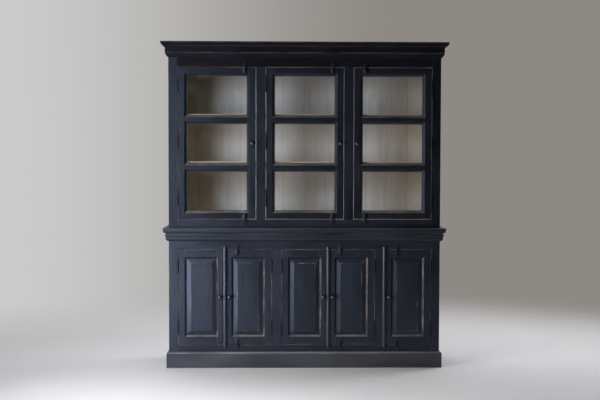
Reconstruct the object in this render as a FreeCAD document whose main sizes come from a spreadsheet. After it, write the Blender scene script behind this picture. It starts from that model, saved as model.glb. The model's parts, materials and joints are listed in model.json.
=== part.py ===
import FreeCAD, Part
import math
import os
import re
import Sketcher

# A two-stage cupboard: a lower case with five raised-panel doors and an upper case with three glazed doors.
# X runs along the front, Y from the front to the back, Z up. The origin is under the middle of the whole.

doc = FreeCAD.newDocument("china_hutch")

# Driving sizes in millimetres
sizes = {
    # cases
    "carcass_width": 1836,
    "carcass_depth": 430,
    "side_thickness": 24,
    "board_thickness": 22,
    "back_thickness": 12,
    "back_board_gap": 0.8,
    "housing_depth": 8,
    # face frames and the openings that they leave
    "face_thickness": 22,
    "stile_width": 60,
    "mullion_width": 64,
    "lower_bottom_rail": 48,
    "lower_opening_height": 650,
    "lower_top_rail": 54,
    "upper_bottom_rail": 58,
    "upper_opening_height": 1026,
    "upper_top_rail": 62,
    # shelves and floors
    "floor_drop": 24,
    "shelf_setback": 20,
    "shelf_rise": 12,
    "lower_shelf_height": 325,
    # plinth
    "plinth_height": 108,
    "plinth_thickness": 16,
    "plinth_bevel": 9,
    # mouldings, each named from the bottom up
    "quirk": 4,
    "waist_bed_height": 26,
    "waist_bed_projection": 19,
    "waist_torus_height": 22,
    "waist_ovolo_height": 21,
    "waist_ovolo_projection": 12,
    "waist_nosing_height": 9,
    "waist_nosing_overhang": 3,
    "waist_nosing_round": 4,
    "cornice_bed_height": 28,
    "cornice_bed_projection": 21,
    "cornice_fascia_height": 20,
    "cornice_cove_height": 24,
    "cornice_cove_projection": 13,
    "cornice_ovolo_height": 17,
    "cornice_ovolo_projection": 10,
    "cornice_fillet_height": 7,
    # door leaves
    "door_gap": 3,
    "door_stile": 44,
    "glazed_door_rail": 41,
    "panel_door_rail": 51,
    "sticking": 12,
    "glazing_bar": 27,
    "glass_thickness": 3,
    "glass_bite": 6,
    "panel_tongue": 6,
    "panel_bite": 6,
    "panel_bevel": 29,
    "panel_field_depth": 4,
    "astragal_width": 29,
    "astragal_overrun": 20,
    # knobs
    "knob_radius": 15,
    "knob_reach": 34,
    "knob_neck_radius": 7,
    "knob_rose_radius": 11,
    "knob_rose_thickness": 3,
    "knob_shank_radius": 4,
    "knob_shank_length": 16,
    "upper_knob_setback": 22,
    "lower_knob_setback": 31,
    # turn latches
    "latch_pivot_inset": 16,
    "latch_tip_reach": 25,
    "latch_tail_reach": 50,
    "latch_head_radius": 14,
    "latch_leaf_half_width": 14,
    "latch_neck_half_width": 9,
    "latch_thickness": 12,
    "latch_standoff": 1,
    "latch_spindle_radius": 3,
    "latch_spindle_clearance": 0.05,
    "latch_tongue_length": 30,
    "latch_tongue_width": 12,
    "latch_tongue_thickness": 4,
    "latch_tongue_gap": 0.5,
    "upper_latch_setback": 75,
    "lower_latch_setback": 82,
    # hinges
    "hinge_leaf_clearance": 0.4,
    "hinge_leaf_depth": 18,
    "hinge_knuckle_radius": 4,
    "hinge_knuckle_gap": 0.4,
    "hinge_face_clearance": 0.5,
    "hinge_pin_radius": 1.5,
    "hinge_pin_clearance": 0.05,
    "upper_hinge_length": 80,
    "lower_hinge_length": 95,
    "upper_hinge_inset": 125,
    "lower_hinge_inset": 112,
}

# Counts
back_board_count = 12
pane_count = 3

sheet = doc.addObject("Spreadsheet::Sheet", "Sizes")
for row, (size_name, value) in enumerate(sizes.items(), start=1):
    sheet.set(f"A{row}", size_name)
    sheet.set(f"B{row}", str(value))
    sheet.setAlias(f"B{row}", size_name)
doc.recompute()


def formula(text):
    # Puts the sheet's name before every size in a formula.
    return re.sub(r"[a-z][a-z_]+", lambda word: f"Sizes.{word[0]}" if word[0] in sizes else word[0], text)


def number(text):
    return float(sheet.evalExpression(formula(text)))


def bind(thing, **formulas):
    # Ties properties of an object to formulas; x, y and z are its place.
    for key, text in formulas.items():
        path = f"Placement.Base.{key}" if key in ("x", "y", "z") else key
        thing.setExpression(path, formula(text))
    return thing


# Levels and places that follow from the sizes
half_width = "(carcass_width / 2)"
waist_projection = "(waist_bed_projection + quirk + waist_ovolo_projection + waist_nosing_overhang)"
waist_height = (
    "(waist_bed_height + waist_torus_height + waist_ovolo_height + waist_nosing_height + 3 * quirk)"
)
cornice_projection = "(cornice_bed_projection + cornice_cove_projection + cornice_ovolo_projection + quirk)"
cornice_height = (
    "(cornice_bed_height + cornice_fascia_height + cornice_cove_height"
    " + cornice_ovolo_height + cornice_fillet_height + 2 * quirk)"
)
front = f"(({cornice_projection} - carcass_depth) / 2)"
back = f"({front} + carcass_depth)"
frame_back = f"({front} + face_thickness)"
lower_bottom = "(plinth_height + lower_bottom_rail)"
lower_top = f"({lower_bottom} + lower_opening_height)"
waist_bottom = f"({lower_top} + lower_top_rail)"
waist_top = f"({waist_bottom} + {waist_height})"
upper_bottom = f"({waist_top} + upper_bottom_rail)"
upper_top = f"({upper_bottom} + upper_opening_height)"
cornice_bottom = f"({upper_top} + upper_top_rail)"
overall_top = f"({cornice_bottom} + {cornice_height})"
opening_width = "(carcass_width - 2 * stile_width - 2 * mullion_width)"
upper_module = f"({opening_width} / 3)"
lower_module = f"({opening_width} / 5)"
first_opening = f"(stile_width - {half_width})"
leaf_thickness = "((door_gap - hinge_leaf_clearance) / 2)"
pin_standoff = "(hinge_knuckle_radius + hinge_face_clearance)"

# Turns that bring a piece's own axes to those of the whole
along_front = FreeCAD.Rotation(
    FreeCAD.Vector(0, -1, 0), FreeCAD.Vector(0, 0, 1), FreeCAD.Vector(-1, 0, 0), "XYZ"
)
along_side = FreeCAD.Rotation(
    FreeCAD.Vector(1, 0, 0), FreeCAD.Vector(0, 0, 1), FreeCAD.Vector(0, -1, 0), "XYZ"
)
to_the_front = FreeCAD.Rotation(FreeCAD.Vector(1, 0, 0), 90)
to_the_back = FreeCAD.Rotation(FreeCAD.Vector(1, 0, 0), -90)
half_turn = FreeCAD.Rotation(FreeCAD.Vector(0, 1, 0), 180)
face_forward = FreeCAD.Rotation(FreeCAD.Vector(0, 0, 1), 180)


# Simple solids
def box(name, low, high):
    # A board between two corners, each given as three formulas.
    board = doc.addObject("Part::Box", name)
    for side, axis, start, end in zip(("Length", "Width", "Height"), "xyz", low, high):
        bind(board, **{side: f"{end} - {start}", axis: start})
    return board


def frustum(name, near, far, near_y, far_y):
    # A block that tapers from one rectangle to another; each is (left, right, bottom, top).
    block = doc.addObject("Part::Wedge", name)
    bind(block, Xmin=near[0], Xmax=near[1], Zmin=near[2], Zmax=near[3], Ymin=near_y)
    bind(block, X2min=far[0], X2max=far[1], Z2min=far[2], Z2max=far[3], Ymax=far_y)
    return block


def cylinder(name, radius, length, x="0", y="0", z="0", turn=FreeCAD.Rotation()):
    rod = doc.addObject("Part::Cylinder", name)
    rod.Placement.Rotation = turn
    return bind(rod, Radius=radius, Height=length, x=x, y=y, z=z)


def joined(name, pieces):
    whole = doc.addObject("Part::MultiFuse", name)
    whole.Shapes = pieces
    return whole


def cut(name, base, tool):
    rest = doc.addObject("Part::Cut", name)
    rest.Base = base
    rest.Tool = tool
    return rest


def group(name, pieces):
    # Pieces that stay separate solids under one name.
    together = doc.addObject("Part::Compound", name)
    together.Links = pieces
    return together


def copy(pattern, x, y, z, turn=FreeCAD.Rotation()):
    # A copy of a pattern that is modelled at the origin.
    placed = doc.addObject("App::Link", f"{pattern.Name}_copy")
    placed.setLink(pattern)
    placed.Placement.Rotation = turn
    return bind(placed, x=x, y=y, z=z)


nodes = []


def node(label, pieces):
    # A sub-part that is written to a file of its own.
    sub_part = group(label, pieces)
    sub_part.Label = label
    nodes.append(sub_part)
    return sub_part


# Outlines made of lines and arcs
def quarter(start, end):
    # The radius of the quarter circle that joins two corners.
    return f"sqrt((({end[0]}) - ({start[0]})) ^ 2 + (({end[1]}) - ({start[1]})) ^ 2) / sqrt(2)"


def arc_between(start, end, radius, hollow):
    # An arc from start to end that swells to the right of the way, or to the left where it is hollow.
    middle = (start + end) / 2
    along = end - start
    right = FreeCAD.Vector(along.y, -along.x, 0).normalize()
    rise = math.sqrt(radius ** 2 - (along.Length / 2) ** 2)
    centre = middle + right * rise if hollow else middle - right * rise
    first, last = (end, start) if hollow else (start, end)
    angles = [math.atan2(tip.y - centre.y, tip.x - centre.x) for tip in (first, last)]
    return Part.ArcOfCircle(Part.Circle(centre, FreeCAD.Vector(0, 0, 1), radius), *angles)


def outline(sketch, corners):
    # Draws a closed outline. Each corner is (across, up), with "round" or "hollow" where an arc leads to it,
    # and that arc's radius if it isn't a quarter circle.
    points = [FreeCAD.Vector(number(corner[0]), number(corner[1]), 0) for corner in corners]
    tips = []
    for index, corner in enumerate(corners):
        start, end = points[index - 1], points[index]
        if len(corner) == 2:
            edge = sketch.addGeometry(Part.LineSegment(start, end), False)
            tips.append((edge, 1, 2))
        else:
            hollow = corner[2] == "hollow"
            radius = corner[3] if len(corner) == 4 else quarter(corners[index - 1], corner)
            edge = sketch.addGeometry(arc_between(start, end, number(radius), hollow), False)
            tips.append((edge, 2, 1) if hollow else (edge, 1, 2))
            tie = sketch.addConstraint(Sketcher.Constraint("Radius", edge, number(radius)))
            sketch.setExpression(f"Constraints[{tie}]", formula(radius))
    origin, across_axis, up_axis = (-1, 1), -1, -2
    for index, corner in enumerate(corners):
        edge, _, tip = tips[index]
        next_edge, next_tip, _ = tips[(index + 1) % len(tips)]
        sketch.addConstraint(Sketcher.Constraint("Coincident", edge, tip, next_edge, next_tip))
        for kind, text, axis in (("DistanceX", corner[0], up_axis), ("DistanceY", corner[1], across_axis)):
            if text == "0":
                sketch.addConstraint(Sketcher.Constraint("PointOnObject", edge, tip, axis))
            else:
                tie = sketch.addConstraint(Sketcher.Constraint(kind, *origin, edge, tip, number(text)))
                sketch.setExpression(f"Constraints[{tie}]", formula(text))
    return sketch


def body_sketch(body, name, corners):
    # An outline on the upright plane of a body.
    sketch = body.newObject("Sketcher::SketchObject", name)
    upright = [plane for plane in body.Origin.OriginFeatures if plane.Role == "XZ_Plane"][0]
    sketch.AttachmentSupport = [(upright, "")]
    sketch.MapMode = "FlatFace"
    return outline(sketch, corners)


# Lengths of one profile that go round the front and the sides and are mitred at the corners
def mitred(label, corners, projection, bottom):
    def length_of(name, turn, direction, length, x, y):
        sketch = outline(doc.addObject("Sketcher::SketchObject", f"{name}_profile"), corners)
        sketch.Placement.Rotation = turn
        bind(sketch, x=x, y=y, z=bottom)
        run = doc.addObject("Part::Extrusion", f"{name}_run")
        run.Base = sketch
        run.DirMode = "Custom"
        run.Dir = direction
        run.Solid = True
        return bind(run, LengthFwd=length)

    corner_x = f"({half_width} + {projection})"
    corner_y = f"({front} - {projection})"
    profile_top = f"({bottom} + {corners[-1][1]})"
    mitre = frustum(
        f"{label}_mitre",
        (f"-{corner_x}", corner_x, bottom, profile_top),
        (f"-{half_width}", half_width, bottom, profile_top),
        corner_y,
        front,
    )
    front_run = length_of(
        f"{label}_front", along_front, FreeCAD.Vector(1, 0, 0), f"2 * {corner_x}", f"-{corner_x}", front
    )
    side_run = length_of(
        f"{label}_side", along_side, FreeCAD.Vector(0, 1, 0), f"{back} - {corner_y}", half_width, corner_y
    )
    front_length = doc.addObject("Part::Common", f"{label}_front_length")
    front_length.Base = front_run
    front_length.Tool = mitre
    right_length = cut(f"{label}_right_length", side_run, mitre)
    left_length = doc.addObject("Part::Mirroring", f"{label}_left_length")
    left_length.Source = right_length
    left_length.Normal = FreeCAD.Vector(1, 0, 0)
    return node(label, [front_length, right_length, left_length])


# Lower case
shelf_front = f"({frame_back} + shelf_setback)"
boards_back = f"({back} - back_thickness)"
housed = f"({half_width} - side_thickness + housing_depth)"
inside = f"({half_width} - side_thickness)"


def housed_board(name, front_edge, bottom):
    # A board across the case whose ends sit in housings in the sides.
    top = f"({bottom} + board_thickness)"
    return box(name, (f"-{housed}", front_edge, bottom), (housed, boards_back, top))


def sides(label, bottom, top, boards):
    # Left and right side, housed for the boards.
    tool = joined(f"{label}_housings", boards)
    left = box(f"{label}_left_blank", (f"-{half_width}", frame_back, bottom), (f"-{inside}", back, top))
    right = box(f"{label}_right_blank", (inside, frame_back, bottom), (half_width, back, top))
    return node(label, [cut(f"{label}_left", left, tool), cut(f"{label}_right", right, tool)])


def face_frame(label, foot, bottom, top, head, mullion_places):
    # Two stiles from foot to head, rails below and above the openings, and mullions between them.
    inner = f"({half_width} - stile_width)"
    members = [
        box(f"{label}_left_stile", (f"-{half_width}", front, foot), (f"-{inner}", frame_back, head)),
        box(f"{label}_right_stile", (inner, front, foot), (half_width, frame_back, head)),
        box(f"{label}_bottom_rail", (f"-{inner}", front, foot), (inner, frame_back, bottom)),
        box(f"{label}_top_rail", (f"-{inner}", front, top), (inner, frame_back, head)),
    ]
    for place in mullion_places:
        far_edge = f"({place} + mullion_width)"
        members.append(box(f"{label}_mullion", (place, front, bottom), (far_edge, frame_back, top)))
    return node(label, members)


def back_boards(label, bottom, top):
    # Upright boards side by side between the sides, with a hair line between them.
    pitch = f"((2 * {inside} + back_board_gap) / {back_board_count})"
    boards = []
    for index in range(back_board_count):
        left = f"({index} * {pitch} - {inside})"
        right = f"({left} + {pitch} - back_board_gap)"
        boards.append(box(f"{label}_board", (left, boards_back, bottom), (right, back, top)))
    return node(label, boards)


lower_head = f"({waist_top} - board_thickness)"
lower_floor_bottom = f"({lower_bottom} - floor_drop - board_thickness)"
lower_floor = housed_board("lower_floor", frame_back, lower_floor_bottom)
lower_shelf = housed_board("lower_shelf", shelf_front, f"({lower_bottom} + lower_shelf_height)")
lower_lid = box("lower_lid", (f"-{half_width}", front, lower_head), (half_width, back, waist_top))
first_lower_mullion = f"({first_opening} + 2 * {lower_module})"
second_lower_mullion = f"({first_lower_mullion} + mullion_width + 2 * {lower_module})"

mitred(
    "plinth_boards",
    [
        ("0", "0"),
        ("plinth_thickness", "0"),
        ("plinth_thickness", "plinth_height - plinth_bevel"),
        ("plinth_thickness - plinth_bevel", "plinth_height"),
        ("0", "plinth_height"),
    ],
    "plinth_thickness",
    "0",
)
sides("lower_sides", "0", lower_head, [lower_floor, lower_shelf])
lower_mullions = [first_lower_mullion, second_lower_mullion]
face_frame("lower_face_frame", "0", lower_bottom, lower_top, lower_head, lower_mullions)
node("lower_boards", [lower_floor, lower_shelf, lower_lid])
back_boards("lower_back_boards", lower_floor_bottom, lower_head)

# Waist moulding: quarter round, torus, ovolo and nosing
waist_groove = "waist_bed_projection - quirk / 2"
torus_bottom = "waist_bed_height + quirk"
torus_top = f"{torus_bottom} + waist_torus_height"
ovolo_bottom = f"{torus_top} + quirk"
ovolo_top = f"{ovolo_bottom} + waist_ovolo_height"
ovolo_out = "waist_bed_projection + quirk + waist_ovolo_projection"
mitred(
    "waist_moulding",
    [
        ("0", "0"),
        ("waist_bed_projection", "waist_bed_height", "round"),
        (waist_groove, "waist_bed_height"),
        (waist_groove, torus_bottom),
        (waist_groove, torus_top, "round", "(0.57 * waist_torus_height)"),
        (waist_groove, ovolo_bottom),
        ("waist_bed_projection + quirk", ovolo_bottom),
        (ovolo_out, ovolo_top, "round"),
        (ovolo_out, f"{ovolo_top} + quirk"),
        (waist_projection, f"{ovolo_top} + quirk"),
        (waist_projection, f"{waist_height} - waist_nosing_round"),
        (f"{waist_projection} - waist_nosing_round", waist_height, "round"),
        ("0", waist_height),
    ],
    waist_projection,
    waist_bottom,
)

# Upper case
upper_head = f"({overall_top} - board_thickness)"
upper_floor = housed_board("upper_floor", frame_back, waist_top)
upper_lid = box("upper_lid", (f"-{half_width}", front, upper_head), (half_width, back, overall_top))
upper_mullions = [
    f"({first_opening} + {count} * {upper_module} + {count - 1} * mullion_width)" for count in (1, 2)
]

# Heights inside a glazed door: the panes are equal, and each shelf lies just above a glazing bar
upper_door_bottom = f"({upper_bottom} + door_gap)"
upper_door_top = f"({upper_top} - door_gap)"
whole_bar = "(glazing_bar + 2 * sticking)"
whole_rail = "(glazed_door_rail + sticking)"
glazed_height = f"({upper_door_top} - {upper_door_bottom} - 2 * {whole_rail})"
pane_height = f"(({glazed_height} - {pane_count - 1} * {whole_bar}) / {pane_count})"
pane_step = f"({pane_height} + {whole_bar})"
pane_bottoms = [
    f"({upper_door_bottom} + {whole_rail} + {index} * {pane_step})" for index in range(pane_count)
]
upper_shelves = [
    housed_board("upper_shelf", shelf_front, f"({pane_bottom} + shelf_rise - board_thickness)")
    for pane_bottom in pane_bottoms[1:]
]

sides("upper_sides", waist_top, upper_head, [upper_floor] + upper_shelves)
face_frame("upper_face_frame", waist_top, upper_bottom, upper_top, upper_head, upper_mullions)
node("upper_boards", [upper_floor, upper_lid])
node("upper_shelves", upper_shelves)
back_boards("upper_back_boards", waist_top, upper_head)

# Cornice: quarter round, fascia, cove, ovolo and fillet
cornice_groove = "cornice_bed_projection - quirk / 2"
fascia_bottom = "cornice_bed_height + quirk"
fascia_top = f"{fascia_bottom} + cornice_fascia_height"
cove_top = f"{fascia_top} + cornice_cove_height"
cove_out = "cornice_bed_projection + cornice_cove_projection"
cornice_ovolo_top = f"{cove_top} + quirk + cornice_ovolo_height"
cornice_ovolo_in = f"{cove_out} + quirk / 2"
cornice_ovolo_out = f"{cornice_ovolo_in} + cornice_ovolo_projection"
mitred(
    "cornice_moulding",
    [
        ("0", "0"),
        ("cornice_bed_projection", "cornice_bed_height", "round", "(2.5 * cornice_bed_projection)"),
        (cornice_groove, "cornice_bed_height"),
        (cornice_groove, fascia_bottom),
        ("cornice_bed_projection", fascia_bottom),
        ("cornice_bed_projection", fascia_top),
        (cove_out, cove_top, "hollow"),
        (cornice_ovolo_in, cove_top),
        (cornice_ovolo_in, f"{cove_top} + quirk"),
        (cornice_ovolo_out, cornice_ovolo_top, "round"),
        (cornice_projection, cornice_ovolo_top),
        (cornice_projection, cornice_height),
        ("0", cornice_height),
    ],
    cornice_projection,
    cornice_bottom,
)

# Knob: a turned ball on a rose, with a shank that goes into the door
ball_centre = "knob_shank_length + knob_reach - knob_radius"
knob = doc.addObject("PartDesign::Body", "knob")
knob_profile = body_sketch(
    knob,
    "knob_profile",
    [
        ("0", "0"),
        ("knob_shank_radius", "0"),
        ("knob_shank_radius", "knob_shank_length"),
        ("knob_rose_radius", "knob_shank_length"),
        ("knob_rose_radius", "knob_shank_length + knob_rose_thickness"),
        ("knob_neck_radius", "knob_shank_length + knob_rose_thickness"),
        ("knob_neck_radius", f"{ball_centre} - sqrt(knob_radius ^ 2 - knob_neck_radius ^ 2)"),
        ("knob_radius", ball_centre, "round", "knob_radius"),
        ("0", "knob_shank_length + knob_reach", "round", "knob_radius"),
    ],
)
knob_turning = knob.newObject("PartDesign::Revolution", "knob_turning")
knob_turning.Profile = knob_profile
knob_turning.ReferenceAxis = (knob_profile, ["V_Axis"])

# Turn latch, with its pivot at the origin: the tail points up over the case, the leaf down the door
neck_right = "latch_head_radius + latch_neck_half_width"
neck_left = "latch_head_radius - latch_neck_half_width"
leaf_right = "latch_head_radius + latch_leaf_half_width"
leaf_left = "latch_head_radius - latch_leaf_half_width"
door_edge_up = "latch_tip_reach + latch_pivot_inset"
head_foot = (
    "latch_tip_reach + latch_tail_reach - latch_head_radius"
    " - sqrt(latch_head_radius ^ 2 - latch_neck_half_width ^ 2)"
)
head_top = "latch_tip_reach + latch_tail_reach"
tip_radius = "(1.2 * latch_tip_reach)"
shoulder_radius = "(1.5 * latch_pivot_inset)"
handle = doc.addObject("PartDesign::Body", "latch_handle")
bind(handle, x="-latch_head_radius", z="-latch_tip_reach")
handle_outline = body_sketch(
    handle,
    "latch_handle_outline",
    [
        ("latch_head_radius", "0", "round", tip_radius),
        (leaf_right, "latch_tip_reach", "round", tip_radius),
        (neck_right, door_edge_up, "round", shoulder_radius),
        (neck_right, head_foot),
        ("latch_head_radius", head_top, "round", "latch_head_radius"),
        (neck_left, head_foot, "round", "latch_head_radius"),
        (neck_left, door_edge_up),
        (leaf_left, "latch_tip_reach", "round", shoulder_radius),
    ],
)
handle_plate = handle.newObject("PartDesign::Pad", "latch_handle_plate")
handle_plate.Profile = handle_outline
bind(handle_plate, Length="latch_thickness")

# The spindle runs through the door to a tongue behind it, which lies level at rest
spindle_length = "(latch_standoff + face_thickness + latch_tongue_gap)"
spindle = cylinder("latch_spindle", "latch_spindle_radius", spindle_length, turn=to_the_back)
tongue_end = f"({spindle_length} + latch_tongue_thickness)"
tongue_root = "(latch_tongue_width / 2)"
tongue = box(
    "latch_tongue",
    (f"-{tongue_root}", spindle_length, f"-{tongue_root}"),
    ("latch_tongue_length", tongue_end, tongue_root),
)
latch = group("latch", [handle, spindle, tongue])


# Butt hinge, with its pin on the upright axis at the origin and the frame on its left
def hinge(size_name):
    half_length = f"({size_name} / 2)"
    knuckle_joint = f"({size_name} / 6)"
    knuckle_low = f"({knuckle_joint} + hinge_knuckle_gap / 2)"
    knuckle_high = f"({knuckle_joint} - hinge_knuckle_gap / 2)"
    leaf_back = f"({pin_standoff} + hinge_leaf_depth)"
    half_gap = "(door_gap / 2)"

    def leaf(name, left, right, knuckles, bore):
        plate_corner = (left, pin_standoff, f"-{half_length}")
        pieces = [box(f"{name}_plate", plate_corner, (right, leaf_back, half_length))]
        for low, high in knuckles:
            pieces.append(box(f"{name}_tab", (left, "0", low), (right, pin_standoff, high)))
            pieces.append(cylinder(f"{name}_knuckle", "hinge_knuckle_radius", f"{high} - {low}", z=low))
        drill = cylinder(f"{name}_bore", bore, size_name, z=f"-{half_length}")
        return cut(name, joined(f"{name}_blank", pieces), drill)

    frame_leaf = leaf(
        f"{size_name}_frame_leaf",
        f"-{half_gap}",
        f"({leaf_thickness} - {half_gap})",
        [(f"-{half_length}", f"-{knuckle_low}"), (knuckle_low, half_length)],
        "hinge_pin_radius",
    )
    door_leaf = leaf(
        f"{size_name}_door_leaf",
        f"({half_gap} - {leaf_thickness})",
        half_gap,
        [(f"-{knuckle_high}", knuckle_high)],
        "hinge_pin_radius + hinge_pin_clearance",
    )
    pin = cylinder(f"{size_name}_pin", "hinge_pin_radius", size_name, z=f"-{half_length}")
    return frame_leaf, door_leaf, pin


upper_hinge = hinge("upper_hinge_length")
lower_hinge = hinge("lower_hinge_length")
fixed_hinge_pieces = []


def hang(label, pattern, edge, hung_left, heights):
    # Hinges on the door's hung edge; the frame leaves and pins go with the cases.
    frame_leaf, door_leaf, pin = pattern
    axis_x = f"({edge} - door_gap / 2)" if hung_left else f"({edge} + door_gap / 2)"
    axis_y = f"({front} - {pin_standoff})"
    turn = FreeCAD.Rotation() if hung_left else half_turn
    door_leaves = []
    for height in heights:
        fixed_hinge_pieces.append(copy(frame_leaf, axis_x, axis_y, height, turn))
        fixed_hinge_pieces.append(copy(pin, axis_x, axis_y, height, turn))
        door_leaves.append(copy(door_leaf, axis_x, axis_y, height, turn))
    node(f"{label}_hinge_leaves", door_leaves)


def opening_tools(label, hole, insert_thickness, bite):
    # What is cut from a door round one pane or panel: the bevelled edge, the hole and the groove.
    left, right, bottom, top = hole
    bevel_back = f"({front} + sticking)"
    groove_back = f"({bevel_back} + {insert_thickness})"
    wide = (f"{left} - sticking", f"{right} + sticking", f"{bottom} - sticking", f"{top} + sticking")
    return [
        frustum(f"{label}_sticking", wide, hole, front, bevel_back),
        box(f"{label}_hole", (left, bevel_back, bottom), (right, frame_back, top)),
        insert(f"{label}_groove", hole, insert_thickness, bite),
    ]


def insert(name, hole, thickness, bite):
    # A pane or a panel's flat back, which sits in the groove behind the bevelled edge.
    left, right, bottom, top = hole
    near = f"({front} + sticking)"
    return box(
        name,
        (f"({left} - {bite})", near, f"({bottom} - {bite})"),
        (f"({right} + {bite})", f"({near} + {thickness})", f"({top} + {bite})"),
    )


def door_frame(label, edges, stiles, holes, tools):
    # Stiles, rails and any bars, each cut from its own blank.
    left, right, bottom, top = edges
    inner_left = f"({left} + {stiles[0]} + sticking)"
    inner_right = f"({right} - {stiles[1]} - sticking)"
    blanks = [
        box(f"{label}_left_stile_blank", (left, front, bottom), (inner_left, frame_back, top)),
        box(f"{label}_right_stile_blank", (inner_right, front, bottom), (right, frame_back, top)),
    ]
    rail_edges = [bottom] + [level for hole in holes for level in hole[2:]] + [top]
    for low, high in zip(rail_edges[0::2], rail_edges[1::2]):
        blanks.append(box(f"{label}_rail_blank", (inner_left, front, low), (inner_right, frame_back, high)))
    tool = joined(f"{label}_tools", tools)
    node(f"{label}_frame", [cut(f"{label}_member", blank, tool) for blank in blanks])


def fit_knob(label, x, z):
    # Puts a knob on a door and gives the hole for its shank.
    shank_end = f"({front} + knob_shank_length)"
    node(f"{label}_knob", [copy(knob, x, shank_end, z, to_the_front)])
    return cylinder(f"{label}_knob_hole", "knob_shank_radius", "knob_shank_length", x, front, z, to_the_back)


def fit_latches(label, x, bottom, top):
    # Puts a latch at the top and the bottom of a door and gives the holes for their spindles.
    holes = []
    places = {
        "top": (f"({top} - latch_pivot_inset)", FreeCAD.Rotation()),
        "bottom": (f"({bottom} + latch_pivot_inset)", half_turn),
    }
    for end, (z, turn) in places.items():
        node(f"{label}_{end}_latch", [copy(latch, x, f"({front} - latch_standoff)", z, turn)])
        radius = "latch_spindle_radius + latch_spindle_clearance"
        hole = cylinder(f"{label}_{end}_spindle_hole", radius, "face_thickness", x, front, z, to_the_back)
        holes.append(hole)
    return holes


# Glazed doors: the first two are hung on their left edge, the third on its right edge
for index, hung_left in enumerate((True, True, False)):
    label = f"upper_door_{index + 1}"
    opening_left = f"({first_opening} + {index} * ({upper_module} + mullion_width))"
    left = f"({opening_left} + door_gap)"
    right = f"({opening_left} + {upper_module} - door_gap)"
    hole_left = f"({left} + door_stile + sticking)"
    hole_right = f"({right} - door_stile - sticking)"
    holes = [(hole_left, hole_right, low, f"({low} + {pane_height})") for low in pane_bottoms]
    knob_x = f"({right} - upper_knob_setback)" if hung_left else f"({left} + upper_knob_setback)"
    latch_x = f"({right} - upper_latch_setback)" if hung_left else f"({left} + upper_latch_setback)"
    middle = f"(({upper_door_bottom} + {upper_door_top}) / 2)"
    tools = [fit_knob(label, knob_x, middle)]
    tools += fit_latches(label, latch_x, upper_door_bottom, upper_door_top)
    for hole in holes:
        tools += opening_tools(label, hole, "glass_thickness", "glass_bite")
    edges = (left, right, upper_door_bottom, upper_door_top)
    door_frame(label, edges, ("door_stile", "door_stile"), holes, tools)
    panes = [insert(f"{label}_pane", hole, "glass_thickness", "glass_bite") for hole in holes]
    node(f"{label}_glass", panes)
    heights = [
        f"({upper_door_bottom} + upper_hinge_inset)",
        middle,
        f"({upper_door_top} - upper_hinge_inset)",
    ]
    hang(label, upper_hinge, left if hung_left else right, hung_left, heights)

# Panel doors: two pairs and a single door. In a pair the leaves meet at the left edge of the astragal,
# which is planted on the right leaf, so that either leaf opens alone.
lower_door_bottom = f"({lower_bottom} + door_gap)"
lower_door_top = f"({lower_top} - door_gap)"
panel_rail = "(panel_door_rail + sticking)"
half_astragal = "(astragal_width / 2)"
narrow_stile = f"(door_stile - {half_astragal})"
wide_stile = f"(door_stile + {half_astragal})"
panel_doors = []
for first_edge in (first_opening, f"({first_lower_mullion} + mullion_width)"):
    centre = f"({first_edge} + {lower_module})"
    meeting = f"({centre} - {half_astragal})"
    left_leaf_end = f"({meeting} - door_gap / 2)"
    right_leaf_start = f"({meeting} + door_gap / 2)"
    far_edge = f"({first_edge} + 2 * {lower_module} - door_gap)"
    left_stiles = ("door_stile", narrow_stile)
    right_stiles = (wide_stile, "door_stile")
    panel_doors.append((True, f"({first_edge} + door_gap)", left_leaf_end, left_stiles, centre, None))
    astragal_centre = f"({right_leaf_start} + {half_astragal})"
    panel_doors.append((False, right_leaf_start, far_edge, right_stiles, centre, astragal_centre))
last_edge = f"({second_lower_mullion} + mullion_width)"
last_left = f"({last_edge} + door_gap)"
last_right = f"({last_edge} + {lower_module} - door_gap)"
last_centre = f"({last_edge} + door_gap / 2)"
panel_doors.append((False, last_left, last_right, ("door_stile", "door_stile"), last_centre, last_centre))

for index, (hung_left, left, right, stiles, centre, astragal_x) in enumerate(panel_doors):
    label = f"lower_door_{index + 1}"
    hole = (
        f"({left} + {stiles[0]} + sticking)",
        f"({right} - {stiles[1]} - sticking)",
        f"({lower_door_bottom} + {panel_rail})",
        f"({lower_door_top} - {panel_rail})",
    )
    middle = f"(({lower_door_bottom} + {lower_door_top}) / 2)"
    knob_x = f"({centre} - lower_knob_setback)" if hung_left else f"({centre} + lower_knob_setback)"
    tools = [fit_knob(label, knob_x, middle)]
    if astragal_x:
        strip = cylinder(
            f"{label}_astragal_strip",
            half_astragal,
            f"{lower_door_top} - {lower_door_bottom} + 2 * astragal_overrun",
            astragal_x,
            front,
            f"{lower_door_bottom} - astragal_overrun",
            face_forward,
        )
        strip.Angle = 180
        node(f"{label}_astragal", [strip])
        tools += fit_latches(label, f"({centre} + lower_latch_setback)", lower_door_bottom, lower_door_top)
    tools += opening_tools(label, hole, "panel_tongue", "panel_bite")
    door_frame(label, (left, right, lower_door_bottom, lower_door_top), stiles, [hole], tools)
    field = (
        f"{hole[0]} + panel_bevel",
        f"{hole[1]} - panel_bevel",
        f"{hole[2]} + panel_bevel",
        f"{hole[3]} - panel_bevel",
    )
    field_front = f"{front} + panel_field_depth"
    raised = frustum(f"{label}_raised_field", field, hole, field_front, f"{front} + sticking")
    flat = insert(f"{label}_panel_back", hole, "panel_tongue", "panel_bite")
    node(f"{label}_panel", [joined(f"{label}_panel_whole", [raised, flat])])
    heights = [f"({lower_door_bottom} + lower_hinge_inset)", f"({lower_door_top} - lower_hinge_inset)"]
    hang(label, lower_hinge, left if hung_left else right, hung_left, heights)

node("hinge_frame_leaves", fixed_hinge_pieces)

doc.recompute()

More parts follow.
